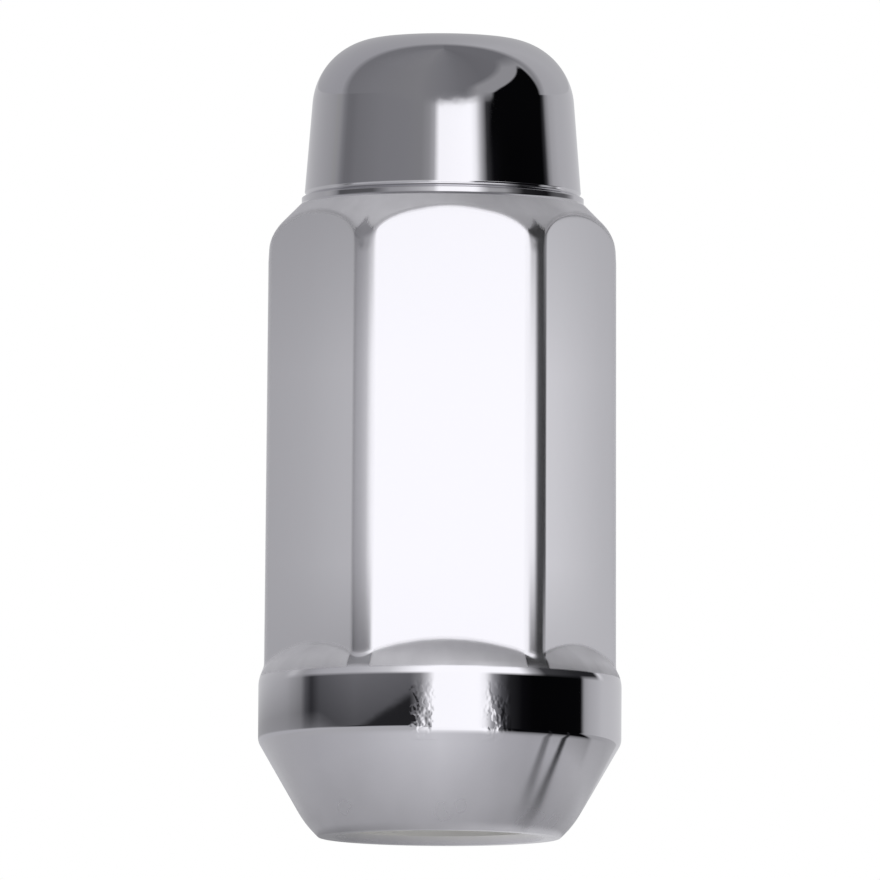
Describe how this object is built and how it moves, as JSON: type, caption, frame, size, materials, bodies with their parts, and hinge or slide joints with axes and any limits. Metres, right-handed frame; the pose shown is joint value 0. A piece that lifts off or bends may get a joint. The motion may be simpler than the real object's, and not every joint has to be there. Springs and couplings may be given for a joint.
{
  "type": "acorn lug nut",
  "caption": "Closed-end acorn lug nut, extended: domed cap, rounded hexagon body, bulge, conical seat and a blind threaded bore at the open end.",
  "frame": {"origin": "centre of the open end face, on the bore axis, where the nut stands", "axes": "+Z along the bore axis from the open end towards the domed end; -Y is square to one flat of the hexagon"},
  "size_m": [0.0222, 0.0222, 0.049],
  "materials": {
    "chrome_plating": "bright decorative chrome plating on cold-forged steel, satin on the turned chamfers and the seat"
  },
  "bodies": {
    "root": {"lug_nut": "chrome_plating"}
  },
  "joints": []
}
